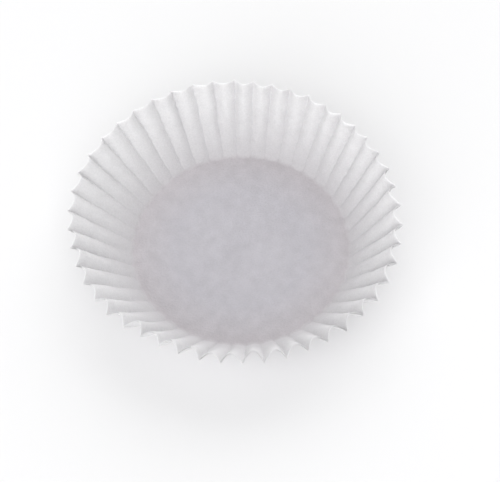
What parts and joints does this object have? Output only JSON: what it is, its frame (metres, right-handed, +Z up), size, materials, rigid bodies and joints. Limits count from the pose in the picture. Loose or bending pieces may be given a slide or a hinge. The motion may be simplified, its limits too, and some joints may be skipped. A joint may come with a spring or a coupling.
{
  "type": "stack of glassine candy cups",
  "caption": "Nested stack of round fluted paper cups with flat floors and flared pleated walls, for holding sweets or small bakes.",
  "frame": {"origin": "centre of the bottom cup's flat floor, on its under face, where the stack rests", "axes": "+Z up through the middle of the floors, towards the open rims; +X lies along an outward crease, and the wall stands steepest about 44 degrees round from it, towards +Y"},
  "size_m": [0.071, 0.0698, 0.0168],
  "materials": {
    "glassine": "matte translucent white paper with a faint cloudy fibre formation"
  },
  "bodies": {
    "root": {"bottom_cup": "glassine", "middle_cup": "glassine", "top_cup": "glassine"}
  },
  "joints": []
}
